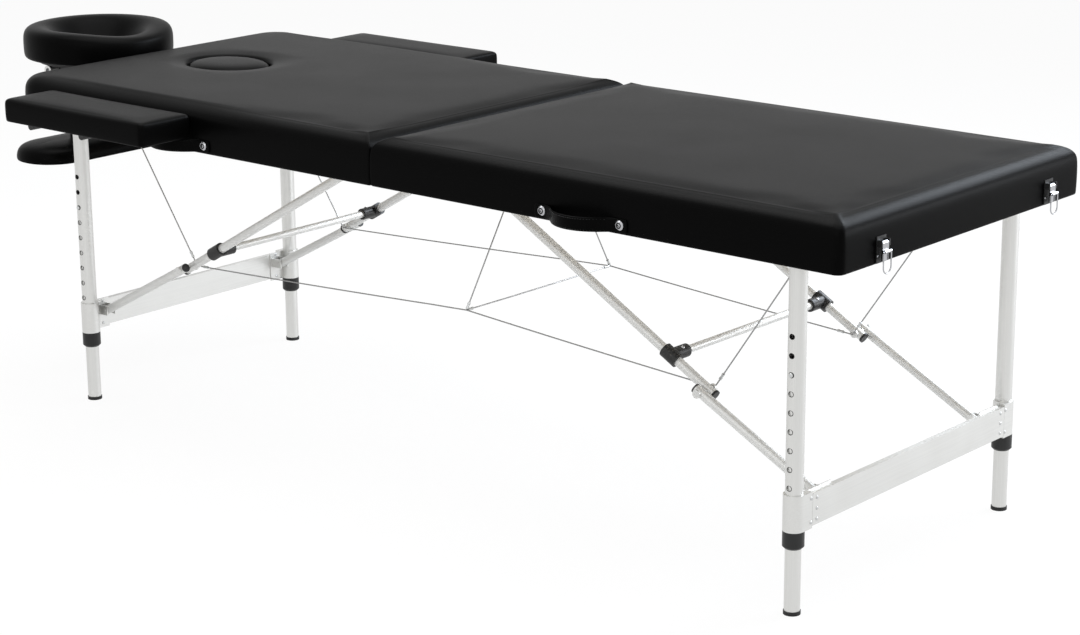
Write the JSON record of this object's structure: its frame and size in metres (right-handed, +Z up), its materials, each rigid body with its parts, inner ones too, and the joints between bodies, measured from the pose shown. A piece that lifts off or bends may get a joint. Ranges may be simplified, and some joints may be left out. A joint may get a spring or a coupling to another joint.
{
  "type": "folding massage table",
  "caption": "Folding padded massage table on telescopic legs with headrest, arm shelf, armrests and face plug.",
  "frame": {"origin": "on the floor under the middle of the table's overall length and width", "axes": "+X from the head end to the foot end, +Y to the far side, +Z up"},
  "size_m": [2.176, 0.924, 0.668],
  "materials": {
    "leather": "soft black leather",
    "foam": "open foam",
    "wood": "bare plywood and beech",
    "aluminium": "satin anodised",
    "steel": "plated steel",
    "chrome": "polished",
    "plastic": "black moulded plastic",
    "rubber": "black rubber",
    "webbing": "black webbing"
  },
  "bodies": {
    "head_panel": {"head_cover": "leather", "head_foam": "foam", "head_deck": "wood", "head_rails": "wood", "head_brackets": "steel", "head_handle": "plastic", "head_hinge_leaves": "steel", "catch_hooks": "chrome", "head_cables": "steel"},
    "foot_panel": {"foot_cover": "leather", "foot_foam": "foam", "foot_deck": "wood", "foot_rails": "wood", "foot_brackets": "steel", "foot_handle": "plastic", "foot_hinge_leaves": "steel", "latch_bases": "plastic", "foot_cables": "steel"},
    "head_legs": {"head_leg_tubes": "aluminium", "head_leg_sleeves": "aluminium", "head_leg_collars": "plastic", "head_crossbar": "aluminium"},
    "head_brace": {"head_upper_struts": "aluminium", "head_tees": "plastic"},
    "head_low_brace": {"head_lower_struts": "aluminium"},
    "head_near_leg": {"inner_leg_head_near": "aluminium", "foot_cap_head_near": "rubber"},
    "head_near_button": {"snap_button_head_near": "chrome"},
    "head_far_leg": {"inner_leg_head_far": "aluminium", "foot_cap_head_far": "rubber"},
    "head_far_button": {"snap_button_head_far": "chrome"},
    "foot_legs": {"foot_leg_tubes": "aluminium", "foot_leg_sleeves": "aluminium", "foot_leg_collars": "plastic", "foot_crossbar": "aluminium"},
    "foot_brace": {"foot_upper_struts": "aluminium", "foot_tees": "plastic"},
    "foot_low_brace": {"foot_lower_struts": "aluminium"},
    "foot_near_leg": {"inner_leg_foot_near": "aluminium", "foot_cap_foot_near": "rubber"},
    "foot_near_button": {"snap_button_foot_near": "chrome"},
    "foot_far_leg": {"inner_leg_foot_far": "aluminium", "foot_cap_foot_far": "rubber"},
    "foot_far_button": {"snap_button_foot_far": "chrome"},
    "headrest_base": {"headrest_rods": "aluminium", "arm_shelf_pad": "leather", "arm_shelf_straps": "webbing"},
    "headrest": {"headrest_plate": "wood", "headrest_cushion": "leather"},
    "near_armrest": {"armrest_pad_near": "leather", "armrest_bracket_near": "aluminium"},
    "far_armrest": {"armrest_pad_far": "leather", "armrest_bracket_far": "aluminium"},
    "face_plug": {"face_plug": "leather"},
    "near_latch_lever": {"latch_lever_near": "chrome"},
    "near_latch_bail": {"latch_bail_near": "chrome"},
    "far_latch_lever": {"latch_lever_far": "chrome"},
    "far_latch_bail": {"latch_bail_far": "chrome"}
  },
  "joints": [
    {"name": "table_fold", "type": "hinge", "parent": "head_panel", "child": "foot_panel", "pos_m": [0.143, 0, 0.546], "axis": [0, 1, 0], "range_deg": [0, 180], "deforming": ["head_cables", "foot_cables"]},
    {"name": "head_leg_fold", "type": "hinge", "parent": "head_panel", "child": "head_legs", "pos_m": [-0.688, 0, 0.571], "axis": [0, -1, 0], "range_deg": [0, 90]},
    {"name": "head_brace_fold", "type": "hinge", "parent": "head_panel", "child": "head_brace", "pos_m": [0.058, 0, 0.581], "axis": [0, 1, 0], "range_deg": [0, 30.07]},
    {"name": "head_low_brace_fold", "type": "hinge", "parent": "head_legs", "child": "head_low_brace", "pos_m": [-0.676, 0, 0.172], "axis": [0, -1, 0], "range_deg": [0, 61.98]},
    {"name": "head_near_height", "type": "slide", "parent": "head_legs", "child": "head_near_leg", "axis": [0, 0, -1], "range_m": [-0.0588, 0.1764], "deforming": ["snap_button_head_near"]},
    {"name": "head_near_button_press", "type": "slide", "parent": "head_near_leg", "child": "head_near_button", "axis": [0, 1, 0], "range_m": [0, 0.005], "stiffness_N_per_m": 400},
    {"name": "head_far_height", "type": "slide", "parent": "head_legs", "child": "head_far_leg", "axis": [0, 0, -1], "range_m": [-0.0588, 0.1764], "deforming": ["snap_button_head_far"]},
    {"name": "head_far_button_press", "type": "slide", "parent": "head_far_leg", "child": "head_far_button", "axis": [0, -1, 0], "range_m": [0, 0.005], "stiffness_N_per_m": 400},
    {"name": "foot_leg_fold", "type": "hinge", "parent": "foot_panel", "child": "foot_legs", "pos_m": [0.974, 0, 0.571], "axis": [0, 1, 0], "range_deg": [0, 90]},
    {"name": "foot_brace_fold", "type": "hinge", "parent": "foot_panel", "child": "foot_brace", "pos_m": [0.228, 0, 0.581], "axis": [0, -1, 0], "range_deg": [0, 30.07]},
    {"name": "foot_low_brace_fold", "type": "hinge", "parent": "foot_legs", "child": "foot_low_brace", "pos_m": [0.962, 0, 0.172], "axis": [0, 1, 0], "range_deg": [0, 61.98]},
    {"name": "foot_near_height", "type": "slide", "parent": "foot_legs", "child": "foot_near_leg", "axis": [0, 0, -1], "range_m": [-0.0588, 0.1764], "deforming": ["snap_button_foot_near"]},
    {"name": "foot_near_button_press", "type": "slide", "parent": "foot_near_leg", "child": "foot_near_button", "axis": [0, 1, 0], "range_m": [0, 0.005], "stiffness_N_per_m": 400},
    {"name": "foot_far_height", "type": "slide", "parent": "foot_legs", "child": "foot_far_leg", "axis": [0, 0, -1], "range_m": [-0.0588, 0.1764], "deforming": ["snap_button_foot_far"]},
    {"name": "foot_far_button_press", "type": "slide", "parent": "foot_far_leg", "child": "foot_far_button", "axis": [0, -1, 0], "range_m": [0, 0.005], "stiffness_N_per_m": 400},
    {"name": "headrest_pull", "type": "slide", "parent": "head_panel", "child": "headrest_base", "axis": [-1, 0, 0], "range_m": [0, 0.09]},
    {"name": "headrest_tilt", "type": "hinge", "parent": "headrest_base", "child": "headrest", "pos_m": [-0.955, 0, 0.588], "axis": [0, -1, 0], "range_deg": [0, 30]},
    {"name": "near_armrest_pull", "type": "slide", "parent": "head_panel", "child": "near_armrest", "axis": [0, -1, 0], "range_m": [0, 0.05]},
    {"name": "far_armrest_pull", "type": "slide", "parent": "head_panel", "child": "far_armrest", "axis": [0, 1, 0], "range_m": [0, 0.05]},
    {"name": "face_plug_lift", "type": "slide", "parent": "head_panel", "child": "face_plug", "axis": [0, 0, 1], "range_m": [0, 0.1]},
    {"name": "near_latch_open", "type": "hinge", "parent": "foot_panel", "child": "near_latch_lever", "pos_m": [1.079, -0.238, 0.582], "axis": [0, -1, 0], "range_deg": [0, 120]},
    {"name": "near_bail_swing", "type": "hinge", "parent": "near_latch_lever", "child": "near_latch_bail", "pos_m": [1.0855, -0.238, 0.57], "axis": [0, -1, 0], "range_deg": [0, 90]},
    {"name": "far_latch_open", "type": "hinge", "parent": "foot_panel", "child": "far_latch_lever", "pos_m": [1.079, 0.238, 0.582], "axis": [0, -1, 0], "range_deg": [0, 120]},
    {"name": "far_bail_swing", "type": "hinge", "parent": "far_latch_lever", "child": "far_latch_bail", "pos_m": [1.0855, 0.238, 0.57], "axis": [0, -1, 0], "range_deg": [0, 90]}
  ],
  "couplings": [
    {"joint": "head_leg_fold", "follows": "table_fold", "ratio": 0.5},
    {"joint": "head_brace_fold", "follows": "table_fold", "ratio": 0.16693},
    {"joint": "head_low_brace_fold", "follows": "table_fold", "ratio": 0.34423},
    {"joint": "foot_leg_fold", "follows": "table_fold", "ratio": 0.5},
    {"joint": "foot_brace_fold", "follows": "table_fold", "ratio": 0.16693},
    {"joint": "foot_low_brace_fold", "follows": "table_fold", "ratio": 0.34423}
  ]
}
